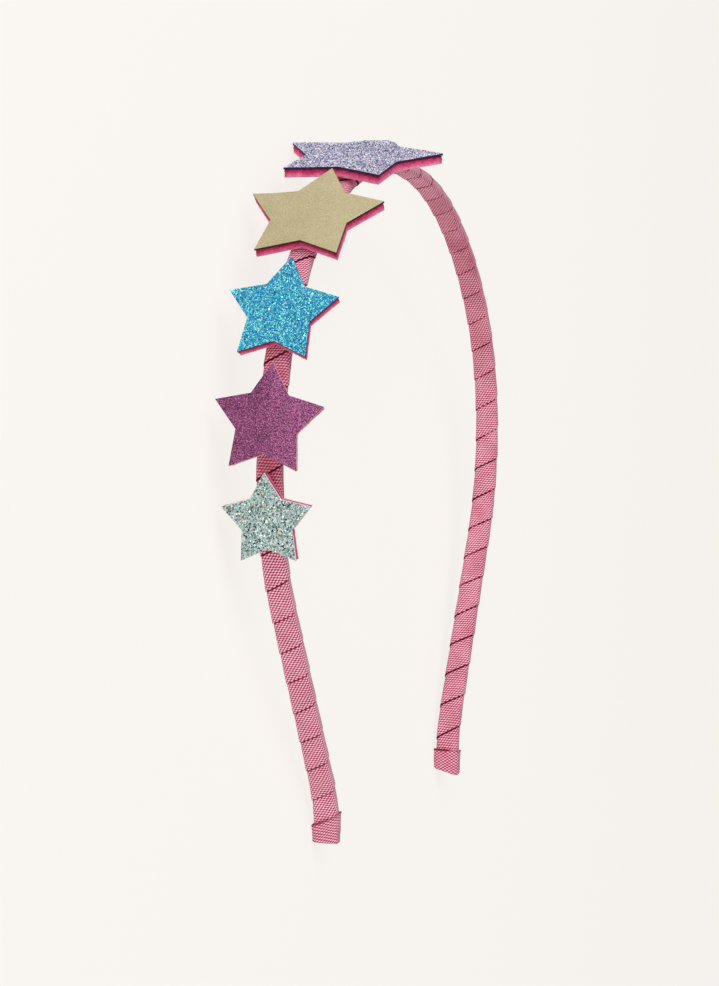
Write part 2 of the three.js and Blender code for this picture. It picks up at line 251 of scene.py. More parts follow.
class Finish:
    """A node material under construction: one method makes any node, and the rest are short uses of it."""

    def __init__(self, name, **uniform):
        self.material = bpy.data.materials.new(name)
        self.material.use_nodes = True
        self.tree = self.material.node_tree
        self.shader = self.tree.nodes["Principled BSDF"]
        for socket, value in uniform.items():
            self.shader.inputs[socket.replace("_", " ")].default_value = value

    def node(self, kind, settings=None, *values, output=0, numbered=None, **named):
        """A node of a kind, its settings, and its sockets' values or links in order, by number or by name."""
        made = self.tree.nodes.new(kind)
        for key, value in (settings or {}).items():
            if key == "stops":
                self.set_stops(made.color_ramp, value)
            else:
                setattr(made, key, value)
        inputs = dict(enumerate(values)) | (numbered or {})
        inputs |= {key.replace("_", " "): value for key, value in named.items()}
        for key, value in inputs.items():
            if isinstance(value, Value):
                self.tree.links.new(value.socket, made.inputs[key])
            else:
                made.inputs[key].default_value = value
        return Value(self, made.outputs[output])

    @staticmethod
    def set_stops(ramp, stops):
        while len(ramp.elements) < len(stops):
            ramp.elements.new(1.0)
        for element, (place, colour) in zip(ramp.elements, stops):
            element.position = place
            element.color = colour

    def set(self, socket, value):
        self.tree.links.new(value.socket, self.shader.inputs[socket])

    def place(self):
        return self.node("ShaderNodeTexCoord", output="Object")

    def attribute(self, name, output="Vector"):
        return self.node("ShaderNodeAttribute", {"attribute_name": name}, output=output)

    def axes(self, vector):
        return [self.node("ShaderNodeSeparateXYZ", None, vector, output=axis) for axis in "XYZ"]

    def noise(self, size, detail=2.0, rough=0.5):
        """Soft noise whose blobs are about size millimetres, 0 to 1."""
        return self.node("ShaderNodeTexNoise", None, Vector=self.place(), Scale=1 / (size * MM),
                         Detail=detail, Roughness=rough)

    def cells(self, size, feature="F1", output="Distance"):
        """Cells about size millimetres across: distance, or a random colour for each."""
        return self.node("ShaderNodeTexVoronoi", {"feature": feature}, Vector=self.place(),
                         Scale=1 / (size * MM), output=output)

    def mix(self, factor, one, other):
        """Colours one and other mixed by a factor."""
        return self.node("ShaderNodeMix", {"data_type": "RGBA"}, factor, numbered={6: one, 7: other},
                         output=2)

    def ramp(self, factor, *stops, interpolation="LINEAR"):
        made = self.node("ShaderNodeValToRGB", {"stops": stops}, factor)
        made.socket.node.color_ramp.interpolation = interpolation
        return made

    def bump(self, height, depth, strength):
        """Relief of a height from 0 to 1 that stands depth millimetres proud."""
        return self.node("ShaderNodeBump", None, Strength=strength, Distance=depth * MM, Height=height)


def ribbon_finish():
    """Rose grosgrain: threads floating over ribs, greyer at the sides as painted sheen, darker as painted
    shade in the seams between turns, inside the band and under the stars, and a little darker on the caps.
    """
    finish = Finish("rose_ribbon", Roughness=0.85, Specular_IOR_Level=0.2, Sheen_Weight=0.1,
                    Sheen_Roughness=0.35, Sheen_Tint=rgb(240, 205, 218))
    along, across, seam = finish.axes(finish.attribute("weave"))
    rubbed = finish.attribute("rubbed", output="Fac")
    wobble = finish.noise(2.2, detail=1.0)
    ribs = ((along + wobble * 0.3) * (math.pi / RIB_PITCH)).cosine()
    threads = ((across + wobble * 0.14) * (math.pi / THREAD_PITCH)).cosine()
    fuzz = finish.noise(0.2)
    relief = (ribs * threads * 0.5 + fuzz * 0.5 + 0.25).clamped()
    patches = finish.noise(3.2)
    tone = (relief * 1.7 + patches * 0.3 - 0.5).clamped()
    thread = finish.ramp(tone, (0.0, rgb(138, 42, 74)), (0.3, rgb(182, 78, 108)), (0.62, rgb(224, 140, 164)),
                         (1.0, rgb(250, 206, 218)))
    # Painted sheen: the sides of the band mixed towards a greyer pink
    sheened = finish.mix(rubbed * 0.35, thread, rgb(200, 164, 178))
    # Painted shade and darker tone from the weave's third axis, in the seams and out of the light, broken up
    # by noise
    turns = finish.noise(7.0, detail=1.0)
    break_up = finish.noise(1.5, detail=1.0)
    depth = (seam * (turns * 3.0 + break_up * 1.2 - 1.2)).clamped()
    deep = finish.ramp(depth, (0.4, rgb(156, 14, 56)), (0.95, rgb(90, 0, 28)))
    finish.set("Base Color", finish.mix((depth * 1.5).clamped(), sheened, deep))
    finish.set("Normal", finish.bump(relief, 0.07, 1.0))
    return finish.material


def felt_finish():
    """Raspberry felt: matted fibres, fuzzier where it is cut, with painted shade that darkens it towards its
    top, under the face, and lighter towards its back.
    """
    finish = Finish("raspberry_felt", Roughness=0.95, Specular_IOR_Level=0.2, Sheen_Weight=0.2,
                    Sheen_Roughness=0.5, Sheen_Tint=rgb(245, 130, 170))
    fibres = finish.noise(0.2, detail=4.0, rough=0.7)
    clumps = finish.noise(1.3)
    depth = finish.attribute("depth", output="Fac")
    # Painted shade: darker near the top of the felt, under the face, and lighter towards its back
    tone = (fibres + clumps * 0.5 + depth * 0.8 - 0.7).clamped()
    finish.set("Base Color", finish.ramp(tone, (0.0, rgb(118, 14, 52)), (0.35, rgb(196, 58, 104)),
                                         (0.7, rgb(234, 122, 164)), (1.0, rgb(252, 186, 210))))
    finish.set("Normal", finish.bump(fibres, 0.08, 0.9))
    return finish.material


def leather_finish(name, tones, cut, grain, contrast, painted_light_share, depth, metallic, roughness):
    """Metallic leather: a fine pebbled grain, painted lighter on one side as painted light, with a raw cut
    edge.
    """
    finish = Finish(name)
    pebbles = finish.noise(grain, detail=1.0)
    creases = finish.cells(grain * 1.6, "DISTANCE_TO_EDGE")
    fine = finish.noise(grain * 0.5, detail=1.0)
    patches = finish.noise(4.0)
    edge = finish.attribute("cut", output="Fac")
    drift = finish.attribute("drift", output="Fac")
    grained = (pebbles - 0.5) * 1.6 + (fine - 0.5) * 0.9 + (creases * 4.0).clamped() * 0.3 - 0.15
    tone = (grained * contrast + patches * 0.24 + drift * painted_light_share + 0.36).clamped()
    face = finish.ramp(tone, (0.0, tones[0]), (0.5, tones[1]), (1.0, tones[2]))
    finish.set("Base Color", finish.mix(edge, face, cut))
    finish.set("Metallic", (1.0 - edge) * metallic)
    finish.set("Roughness", (roughness - grained * 0.2 + edge * 0.35).clamped())
    finish.set("Normal", finish.bump(grained + 0.5, depth, 0.8))
    return finish.material


def glitter_finish(name, tones, cut, grain):
    """The glittered sheet itself, between the loose flakes: small facets in mixed tones."""
    finish = Finish(name)
    facet = finish.cells(grain, output="Color")
    red, green, blue = finish.axes(facet)
    edge = finish.attribute("cut", output="Fac")
    finish.set("Base Color", finish.mix(edge, finish.ramp(red, *tones), cut))
    finish.set("Metallic", (1.0 - edge) * 0.55)
    finish.set("Roughness", (green * 0.35 + 0.25 + edge * 0.4).clamped())
    finish.set("Normal", finish.bump(blue + finish.cells(grain) * 0.6, grain * 0.3, 0.8))
    return finish.material


def flake_finish(name, tones):
    """Loose glitter flakes, each in a tone of its own."""
    finish = Finish(name, Metallic=0.75)
    tint = finish.attribute("tint", output="Fac")
    finish.set("Base Color", finish.ramp(tint, *tones, interpolation="CONSTANT"))
    finish.set("Roughness", finish.noise(0.8) * 0.3 + 0.12)
    return finish.material


# Meshes


def made_object(name, points, faces, material, smooth=True, **attributes):
    """A mesh object in metres, none of it under the floor, with its attributes' numbers for each point."""
    mesh = bpy.data.meshes.new(name)
    mesh.from_pydata([(x, y, max(z, 0)) for x, y, z in points], [], [tuple(f) for f in faces])
    for key, values in attributes.items():
        values = np.asarray(values, float)
        kind = "FLOAT" if values.ndim == 1 else "FLOAT_VECTOR"
        layer = mesh.attributes.new(key, kind, "POINT")
        layer.data.foreach_set("value" if values.ndim == 1 else "vector", values.ravel())
    mesh.validate()
    if smooth:
        mesh.shade_smooth()
    else:
        mesh.shade_flat()
    mesh.materials.append(material)
    piece = bpy.data.objects.new(name, mesh)
    bpy.context.scene.collection.objects.link(piece)
    return piece


def grid_faces(rows, columns):
    """Quads between neighbouring rows of points, where each row joins its end to its start."""
    faces = []
    for row in range(rows - 1):
        for column in range(columns):
            following = (column + 1) % columns
            faces.append((row * columns + column, row * columns + following,
                          (row + 1) * columns + following, (row + 1) * columns + column))
    return faces


def smoothstep(values):
    values = np.clip(values, 0, 1)
    return values * values * (3 - 2 * values)


def wander(values, seed):
    """A smooth wandering number from -1 to 1, as three waves of unlike length."""
    return (np.sin(values + seed) + 0.6 * np.sin(values * 2.3 + 2.1 * seed)
            + 0.4 * np.sin(values * 4.9 + 3.7 * seed)) / 2


def painted(distance, width, blur):
    """How strong a painted line of a width is at a distance: 1 on it, fading to 0 just past its width."""
    return smoothstep((1.25 - distance / width) / blur)


def shuffled(seed):
    return np.random.default_rng(seed)


# The band's own frame

BENDS = [
    (CROWN_RADIUS * math.radians(CROWN_TURN), 1 / CROWN_RADIUS),
    (SHOULDER_RADIUS * math.radians(SHOULDER_TURN), 1 / SHOULDER_RADIUS),
    (ARM_LENGTH, 0.0),
    (math.inf, -1 / TIP_RADIUS),
]
HALF_LENGTH = sum(length for length, curvature in BENDS[:-1]) + TIP_RADIUS * math.radians(TIP_TURN)


def sideways_bow(along):
    turn = np.clip((along - BOW_PLACE) / BOW_REACH, -1, 1) * math.pi / 2
    return BOW * np.cos(turn) ** 2, -BOW * np.sin(2 * turn) * math.pi / (2 * BOW_REACH)


def band_frame(along):
    """Middle of the band at lengths from the crown, and its directions across and outward."""
    side = np.where(along < 0, -1.0, 1.0)
    left = np.abs(along)
    x, z, angle = (np.zeros_like(left) for _ in range(3))
    for length, curvature in BENDS:
        step = np.minimum(left, length)
        half = step * curvature / 2
        chord = step * np.sinc(half / math.pi)
        x += chord * np.cos(angle + half)
        z -= chord * np.sin(angle + half)
        angle += 2 * half
        left = left - step
    angle = side * angle
    bow, slope = sideways_bow(along)
    middle = np.stack([side * x, bow, z], -1)
    forward = np.stack([np.cos(angle), slope, -np.sin(angle)], -1)
    forward /= np.linalg.norm(forward, axis=-1, keepdims=True)
    outward = np.stack([np.sin(angle), np.zeros_like(angle), np.cos(angle)], -1)
    return middle, np.cross(forward, outward), outward


def on_band(along, across, out):
    """Points set on the band at a length, an offset across it and a height out from its middle."""
    middle, right, outward = band_frame(along)
    return middle + right * across[..., None] + outward * out[..., None]


class Rest:
    """How the band's own frame lies in the frame's, from the point inside the crown that both know."""

    def __init__(self, record):
        inside = next(m for m in record["mounts"] if m["name"] == "inside_of_crown")
        sine, cosine = math.sin(math.radians(REST_TILT)), math.cos(math.radians(REST_TILT))
        self.turn = np.array([[1, 0, 0], [0, sine, cosine], [0, -cosine, sine]])
        crown = np.array([0, sideways_bow(np.zeros(1))[0][0], -BAND_THICKNESS / 2])
        self.origin = np.array(inside["pos_m"]) - self.turn @ crown * MM

    def lay(self, points):
        return points @ self.turn.T * MM + self.origin

    def turned(self, direction):
        return Vector(self.turn @ np.array(direction))


def rounded_section(width, thickness, corner, steps):
    """Evenly spaced points of a rounded rectangle and the directions out of it, the way the ribbon winds."""
    flat, tall = width / 2 - corner, thickness / 2 - corner
    arc = corner * math.pi / 2
    runs = [arc, 2 * flat, arc, 2 * tall, arc, 2 * flat, arc, 2 * tall]
    corners = [(flat, -tall, 0), (-flat, -tall, 90), (-flat, tall, 180), (flat, tall, 270)]
    points, directions = [], []
    for step in range(steps):
        length = step / steps * sum(runs)
        run = 0
        while length > runs[run]:
            length -= runs[run]
            run += 1
        x, y, start = corners[run // 2]
        share = length / runs[run] if runs[run] else 0
        turn = math.radians(start + 90 * (share if run % 2 == 0 else 1))
        direction = np.array([math.cos(turn), -math.sin(turn)])
        point = np.array([x, y]) + corner * direction
        if run % 2:
            following = corners[(run // 2 + 1) % 4]
            point = point + share * (np.array(following[:2]) - np.array([x, y]))
        points.append(point)
        directions.append(direction)
    return np.array(points), np.array(directions), sum(runs)


def mouth_of(arm, x):
    """Where an arm's winding ends, at points x across the band."""
    slope = math.tan(math.radians(arm["mouth_slant"]))
    return arm["side"] * (HALF_LENGTH + arm["reach"] - CAP_LENGTH) + slope * x


def seam_place(turn):
    """Length along the band where a seam is, for a number of turns that counts parts of a turn too."""
    return WRAP_PITCH * (turn + WRAP_PHASE) + WRAP_WANDER * wander((turn + WRAP_PHASE) * 1.9, 0.8)


def edge_stations(lapped):
    """Distances in from an edge of the ribbon to its stations, closest where a raised edge or a seam is."""
    return np.array(RAISED_EDGE) + (np.array(LAPPED_EDGE) - np.array(RAISED_EDGE)) * lapped[:, None]


class Winding:
    """The wound ribbon as rows of points, a row for each step round the band. A row runs from one edge of the
    ribbon to the other on top and back underneath, and each turn laps the next one down its arm."""

    def __init__(self):
        self.section, self.directions, self.around = rounded_section(BAND_WIDTH, BAND_THICKNESS, BAND_CORNER,
                                                                     ROUND_STEPS)
        first = math.floor((mouth_of(ARMS["star_arm"], 0) - BAND_WIDTH) / WRAP_PITCH - WRAP_PHASE) - 1
        last = math.ceil((mouth_of(ARMS["plain_arm"], 0) + BAND_WIDTH) / WRAP_PITCH - WRAP_PHASE)
        self.step = np.arange((last - first) * ROUND_STEPS + 1)
        self.corner = self.step % ROUND_STEPS
        turn = first + self.step / ROUND_STEPS
        self.seam, self.following = seam_place(turn), seam_place(turn + 1)
        self.low_start = smoothstep(self.seam / LAP_CHANGE + 0.5)
        self.low_end = 1 - smoothstep(self.following / LAP_CHANGE + 0.5)
        self.first_edge = self.seam - RIBBON_LAP * self.low_start
        self.last_edge = self.following + RIBBON_LAP * self.low_end
        self.along, self.lower = self.stations()
        self.from_seam = self.along - self.seam[:, None]
        self.to_seam = self.following[:, None] - self.along

    def stations(self):
        """Lengths along the band of the points in each row, and which places in a row are underneath."""
        near_start = self.first_edge[:, None] + edge_stations(self.low_start)
        near_end = (self.last_edge[:, None] - edge_stations(self.low_end))[:, ::-1]
        shares = np.linspace(0, 1, MIDDLE_STATIONS)[1:-1]
        middle = near_start[:, -1:] + (near_end[:, :1] - near_start[:, -1:]) * shares
        top = np.concatenate([near_start, middle, near_end], 1)
        underside = np.linspace(top.shape[1] - 1, 0, UNDERSIDE_STATIONS).astype(int)
        along = np.concatenate([top, top[:, underside]], 1)
        return along, np.arange(along.shape[1]) >= top.shape[1]

    def ends(self):
        """For both ends of a turn, how low it is there, 0 or 1, and the points' distances from the seam."""
        return (self.low_start[:, None], self.from_seam), (self.low_end[:, None], self.to_seam)

    def height(self):
        """Height of each point over the section of the band."""
        share = np.clip(self.from_seam / (self.following - self.seam)[:, None], 0, 1)
        height = -RIBBON_STEP * (self.low_start[:, None] * (1 - share) + self.low_end[:, None] * share)
        for low, distance in self.ends():
            height -= CREVICE_DEPTH * low * (1 - smoothstep(distance / CREVICE_REACH))
        edge = np.minimum(self.along - self.first_edge[:, None], self.last_edge[:, None] - self.along)
        short = np.clip(SELVEDGE_ROUND - edge, 0, SELVEDGE_ROUND)
        rounding = SELVEDGE_ROUND - np.sqrt(SELVEDGE_ROUND ** 2 - short ** 2)
        height -= np.where(self.lower, RIBBON_THICKNESS - rounding, rounding)
        ripple = wander(self.along * 1.7 + self.corner[:, None] * 0.6, 2.0)
        return height + np.where(self.lower, 0, RIPPLE * ripple)

    def shade(self, to_mouth):
        """How dark each point is painted, from 0 to 1, where to_mouth is how far the caps' mouths are."""
        # Painted shade inside the band and under the stars
        shade = ribbon_shade(self.along, self.directions[self.corner][:, 1:])
        near_crown = 1 - smoothstep(np.abs(self.along) / CROWN_LINE_REACH)
        raised_width = RAISED_LINE + (CROWN_LINE - RAISED_LINE) * near_crown
        # Painted shade in the seams' crevices, with the darker selvedge: a line on the lower turn and one on
        # the raised turn's edge, wider near the crown
        for low, distance in self.ends():
            shade = np.maximum(shade, low * painted(distance, SEAM_LINE, SEAM_BLUR))
            shade = np.maximum(shade, (1 - low) * painted(distance, raised_width, SEAM_BLUR))
        # Painted shade where the ribbon goes into a cap's mouth
        shade = np.maximum(shade, MOUTH_SHADE * painted(to_mouth, MOUTH_LINE, MOUTH_BLUR))
        # Painted shade: the ribbon's underside, seen only in gaps, painted fully dark
        return np.where(self.lower, 1.0, shade)


def wound_ribbon(rest, finish):
    """One long ribbon wound from tip to tip over a plain core."""
    winding = Winding()
    along, corner = winding.along, winding.corner
    directions = winding.directions[corner]
    base = winding.section[corner][:, None, :] + directions[:, None, :] * winding.height()[..., None]
    across, out = base[..., 0], base[..., 1]
    mouths = mouth_of(ARMS["star_arm"], across), mouth_of(ARMS["plain_arm"], across)
    held = np.clip(along, mouths[0] - CAP_HOLD, mouths[1] + CAP_HOLD)
    points = rest.lay(on_band(held, across, out).reshape(-1, 3))
    lean = math.atan2(WRAP_PITCH, winding.around)
    unwound = (winding.step / ROUND_STEPS * winding.around)[:, None]
    ribbon_length = unwound * math.cos(lean) + along * math.sin(lean)
    shade = winding.shade(np.minimum(along - mouths[0], mouths[1] - along) + CAP_GAP)
    weave = np.stack([ribbon_length, winding.from_seam * math.cos(lean), shade], -1).reshape(-1, 3)
    # Painted sheen on the band's sides, weaker past the crown on the plain arm
    less = SIDE_SHEEN_LESS * smoothstep(along / SIDE_SHEEN_CHANGE)
    rubbed = (side_sheen_share(directions[:, :1]) * (1 - less)).reshape(-1)
    within = ((along > mouths[0] - CAP_HOLD) & (along < mouths[1] + CAP_HOLD)).reshape(-1)
    faces = [face[::-1] for face in grid_faces(*along.shape) if any(within[i] for i in face)]

    core_points, core_faces = band_core(rest)
    shift = len(points)
    faces += [tuple(i + shift for i in face) for face in core_faces]
    points = np.concatenate([points, core_points])
    # Painted shade: the hidden core painted fully dark, where it shows through gaps
    weave = np.concatenate([weave, np.ones((len(core_points), 3))])
    rubbed = np.concatenate([rubbed, np.zeros(len(core_points))])
    piece = made_object("wound_ribbon", points, faces, finish, weave=weave, rubbed=rubbed)
    weld(piece)
    return piece


def side_sheen_share(sideways):
    """How much painted sheen greys a surface that faces sideways by a share."""
    return smoothstep((np.abs(sideways) - SIDE_SHEEN_FROM) / (1 - SIDE_SHEEN_FROM))


def ribbon_shade(along, outward):
    """How much painted shade deepens the ribbon's colour, at lengths along the band, where outward is 1
    outside and -1 inside.
    """
    inside = smoothstep(-outward * 2)
    inside = inside * smoothstep((np.abs(along) - INSIDE_SHADE_START) / INSIDE_SHADE_CHANGE)
    low = smoothstep(np.abs(along) / ARM_LENGTH - 1)
    inside = inside * (INSIDE_SHADE + (INSIDE_SHADE_LOW - INSIDE_SHADE) * low)
    star_shadow = smoothstep((along - STAR_SHADOW_SPAN[0]) / STAR_SHADOW_BLUR)
    star_shadow = star_shadow * smoothstep((STAR_SHADOW_SPAN[1] - along) / STAR_SHADOW_BLUR)
    return np.maximum(inside, star_shadow * smoothstep(outward + 1) * STAR_SHADOW_STRENGTH)


def band_core(rest):
    """The hidden band under the ribbon, from mouth to mouth of the caps, closed at both ends."""
    section, _, _ = rounded_section(BAND_WIDTH - 2 * CORE_DEPTH, BAND_THICKNESS - 2 * CORE_DEPTH,
                                    BAND_CORNER - CORE_DEPTH, CORE_ROUND)
    reach = HALF_LENGTH - CAP_FLOOR - CAP_GAP * 2
    stations = np.linspace(-reach, reach + ARMS["plain_arm"]["reach"], CORE_STATIONS)
    along = np.broadcast_to(stations[:, None], (len(stations), len(section)))
    points = rest.lay(on_band(along, np.broadcast_to(section[:, 0], along.shape),
                              np.broadcast_to(section[:, 1], along.shape)).reshape(-1, 3))
    faces = grid_faces(len(stations), len(section))
    count = len(points)
    faces += [tuple(range(len(section)))[::-1], tuple(range(count - len(section), count))]
    return points, faces


def weld(piece):
    """Merges points that lie together and drops what has no area."""
    mesh = bmesh.new()
    mesh.from_mesh(piece.data)
    bmesh.ops.remove_doubles(mesh, verts=mesh.verts, dist=1e-7)
    bmesh.ops.dissolve_degenerate(mesh, edges=mesh.edges, dist=1e-7)
    loose = [vert for vert in mesh.verts if not vert.link_faces]
    bmesh.ops.delete(mesh, geom=loose, context="VERTS")
    bmesh.ops.recalc_face_normals(mesh, faces=mesh.faces)
    mesh.to_mesh(piece.data)
    mesh.free()


def tip_cap(name, arm, rest, finish):
    """Ribbon folded over a tip: a soft pocket, its thick rolled mouth, its sides and the fold at its end."""
    side = arm["side"]
    tip = side * (HALF_LENGTH + arm["reach"])
    end_slope = math.tan(math.radians(arm["end_slant"]))
    rings = []

    def ring(share, inset, push=0.0, seam=0.0):
        """A ring at a share of the way from mouth to end, inset from the outside and pushed to the end."""
        width, thickness = CAP_WIDTH - 2 * inset, CAP_THICKNESS - 2 * inset
        corner = min(max(CAP_CORNER - inset, CAP_LEAST_CORNER), thickness / 2 - 0.01)
        section, directions, _ = rounded_section(width, thickness, corner, CAP_ROUND)
        mouth = mouth_of(arm, section[:, 0])
        end = tip + end_slope * section[:, 0]
        along = mouth + (end - mouth) * share + side * push
        rings.append((along, section, directions, np.full(CAP_ROUND, seam)))

    pocket_end = 1 - CAP_FLOOR / CAP_LENGTH
    # Painted shade: the pocket inside the cap painted fully dark
    shares = pocket_end, pocket_end, *CAP_POCKET_SHARES
    for share, inset in zip(shares, (2 * CAP_WALL, CAP_WALL, CAP_WALL, CAP_SKIN)):
        ring(share, inset, seam=1.0)
    # Painted shade on the lip and hem at the mouth
    lip = CAP_SKIN / 2
    for turn in np.linspace(180, 0, CAP_LIP_RINGS):
        turn = math.radians(turn)
        ring(0, lip - lip * math.cos(turn), lip - lip * math.sin(turn), MOUTH_SHADE)
    ring(CAP_HEM, CAP_WAIST / 2, seam=MOUTH_SHADE)
    for share in np.linspace(CAP_SIDE_FROM, 1 - CAP_END_ROUND / CAP_LENGTH, CAP_SIDE_RINGS):
        ring(share, CAP_WAIST - CAP_BELLY * math.sin(math.pi * share))
    for turn in np.linspace(15, 90, CAP_END_RINGS):
        turn = math.radians(turn)
        ring(1, CAP_WAIST + CAP_END_ROUND * (1 - math.cos(turn)), -CAP_END_ROUND * (1 - math.sin(turn)))
    for inset in CAP_END_INSETS:
        ring(1, inset)
    along, out_ways, seam = (np.stack([row[i] for row in rings]) for i in (0, 2, 3))
    across = np.stack([row[1][:, 0] for row in rings])
    out = np.stack([row[1][:, 1] for row in rings])
    depth = (along - mouth_of(arm, across)) * side
    crease = CAP_CREASE * wander(along * 2.6 + across * 1.3, 1.0)
    crease += CAP_KNOB * np.exp(-(depth / CAP_KNOB_REACH) ** 2) * out_ways[..., 0] ** 6
    across = np.where(across > 0, across * (1 - arm["taper"] * np.clip(depth / CAP_LENGTH, 0, 1)), across)
    across, out = across + out_ways[..., 0] * crease, out + out_ways[..., 1] * crease
    points = rest.lay(on_band(along, across, out).reshape(-1, 3))
    around = CAP_ARC / 2 - np.abs(CAP_ARC / 2 - np.arange(CAP_ROUND) * CAP_ARC / CAP_ROUND)
    around = np.broadcast_to(around, along.shape)
    # The cap painted a little darker all over, with painted shade on its inner faces
    shade = CAP_SHADE + np.where(out_ways[..., 1] < 0, INSIDE_SHADE_LOW / 2, 0)
    weave = np.stack([around, depth, np.maximum(seam, shade)], -1)
    # Painted sheen on the cap's sides
    rubbed = side_sheen_share(out_ways[..., 0])
    faces = grid_faces(len(rings), CAP_ROUND)
    if side < 0:
        faces = [face[::-1] for face in faces]
    count = len(points)
    faces += [tuple(range(CAP_ROUND)), tuple(range(count - CAP_ROUND, count))]
    piece = made_object(name, points, faces, finish, weave=weave.reshape(-1, 3), rubbed=rubbed.reshape(-1))
    weld(piece)
    return piece


# Stars, measured from their nodes in the frame


class Star:
    """One node of a star: its middle, its own axes in millimetres, its outline and its surfaces' heights."""

    def __init__(self, node, outward):
        mesh = node.data
        self.points = np.array([v.co for v in mesh.vertices], float)
        sides = [p.vertices[:] for p in mesh.polygons]
        self.tree = BVHTree.FromPolygons([v.co for v in mesh.vertices], sides)
        unique = np.unique(np.round(self.points, 7), axis=0)
        self.middle = unique.mean(0)
        self.up = np.linalg.svd(unique - self.middle)[2][2]
        self.up *= np.sign(self.up @ outward)
        for _ in range(3):
            tips = self.find_tips(unique)
            self.middle = tips.mean(0)
        self.middle = Vector(self.middle)
        self.x = Vector(self.flat(tips[0])).normalized()
        self.up = Vector(self.up)
        self.y = self.up.cross(self.x)
        self.radius = np.mean([np.linalg.norm(self.flat(tip)) for tip in tips]) / MM
        self.notch = self.edge_radius(math.pi / POINTS)

    def flat(self, point):
        arm = np.array(point) - np.array(self.middle)
        up = np.array(self.up)
        return arm - up * (arm @ up)

    def find_tips(self, points):
        flats = np.array([self.flat(point) for point in points])
        lengths = np.linalg.norm(flats, axis=1)
        first = flats[lengths.argmax()] / lengths.max()
        second = np.cross(self.up, first)
        turns = np.arctan2(flats @ second, flats @ first)
        tips = []
        for tip in range(POINTS):
            off = (turns - tip * 2 * math.pi / POINTS + math.pi) % (2 * math.pi) - math.pi
            near = np.where(np.abs(off) < math.pi / (2 * POINTS), lengths, 0)
            tips.append(points[near.argmax()])
        return np.array(tips)

    def at(self, x, y, height=0.0):
        """The point of the frame at x, y and height in the star's own axes."""
        return self.middle + (self.x * x + self.y * y + self.up * height) * MM

    def surface(self, x, y):
        """Height of the node's top over its own plane, or None outside it."""
        hit = self.tree.ray_cast(self.at(x, y, RAY_REACH), -self.up, 2 * RAY_REACH * MM)[0]
        return None if hit is None else (hit - self.middle).dot(self.up) / MM

    def edge_radius(self, angle):
        inside, outside = 0.0, self.radius
        for _ in range(EDGE_HALVINGS):
            middle = (inside + outside) / 2
            if self.surface(middle * math.cos(angle), middle * math.sin(angle)) is None:
                outside = middle
            else:
                inside = middle
        return inside

    def outline(self):
        """Points round the star, a little closer together towards its notches."""
        corners = []
        for i in range(2 * POINTS):
            length = self.notch if i % 2 else self.radius
            angle = i * math.pi / POINTS
            corners.append(np.array([math.cos(angle), math.sin(angle)]) * length)
        points = []
        for i, corner in enumerate(corners):
            following = corners[(i + 1) % len(corners)]
            towards_tip = i % 2 == 1
            for share in np.linspace(0, 1, EDGE_STATIONS, endpoint=False):
                eased = 1 - (1 - share) ** EDGE_EASE if towards_tip else share ** EDGE_EASE
                points.append(corner + (following - corner) * eased)
        return np.array(points)


def star_sheet(name, star, finish, thickness, edge_round, rough, seed, cut_from=math.inf, trim=0.0):
    """A star cut from sheet of a thickness, under the node's top surface, with rounded and uneven edges.
    Its cut edge shows from a depth of cut_from down, and trim is how much its outline is drawn in."""
    outline = star.outline()
    count = len(outline)
    profile = []
    for share in FACE_ROWS:
        profile.append((share, 0.0, 0.0))
    for turn in EDGE_TURNS:
        turn = math.radians(turn)
        profile.append((1.0, edge_round * (1 - math.sin(turn)), edge_round * (1 - math.cos(turn))))
    side_rows = max(2, int(thickness / SIDE_ROW))
    for share in np.linspace(0, 1, side_rows + 2)[1:-1]:
        profile.append((1.0, 0.0, edge_round + (thickness - 2 * edge_round) * share))
    for turn in EDGE_TURNS[::-1]:
        turn = math.radians(turn)
        depth = thickness - edge_round * (1 - math.cos(turn))
        profile.append((1.0, edge_round * (1 - math.sin(turn)), depth))
    for share in FACE_ROWS[::-1]:
        profile.append((share, 0.0, thickness))
    inner = [star.surface(*(point * JUST_INSIDE)) for point in outline]
    tops = {1.0: inner}
    for share in FACE_ROWS:
        tops[share] = [star.surface(*(point * share)) for point in outline]
    points, cut, depths = [], [], []
    jitter = shuffled(seed).normal(0, 1, (len(profile), count, 3))
    for row, (share, inset, depth) in enumerate(profile):
        for column, point in enumerate(outline):
            length = np.linalg.norm(point)
            flat = point * (share * (1 - (inset + trim) / length))
            top = tops[share][column]
            top = inner[column] if top is None else top
            bump = jitter[row, column] * rough
            if share == 1.0 and 0 < depth < thickness:
                flat = flat * (1 + bump[0] / length)
            flat = flat + bump[1:] * ROUGH_ASIDE
            points.append(star.at(*flat, top - depth + bump[0] * ROUGH_UP))
            cut.append(1.0 if depth > cut_from and share > 0.9 else 0.0)
            depths.append(depth / thickness)
    faces = [face[::-1] for face in grid_faces(len(profile), count)]
    for row, height in ((0, 0.0), (len(profile) - 1, thickness)):
        hub = len(points)
        top = star.surface(0.0, 0.0)
        points.append(star.at(0, 0, top - height))
        cut.append(0.0)
        depths.append(height / thickness)
        for column in range(count):
            pair = (row * count + column, row * count + (column + 1) % count)
            faces.append((hub, *(pair if row == 0 else pair[::-1])))
    # Painted light: lighter towards one side of the star
    drift = [(Vector(point) - star.middle).dot(PAINTED_LIGHT_TOWARDS) / (star.radius * MM) for point in points]
    drift = smoothstep(np.array(drift) * PAINTED_LIGHT_SLOPE + PAINTED_LIGHT_START)
    return made_object(name, points, faces, finish, cut=cut, depth=depths, drift=drift)


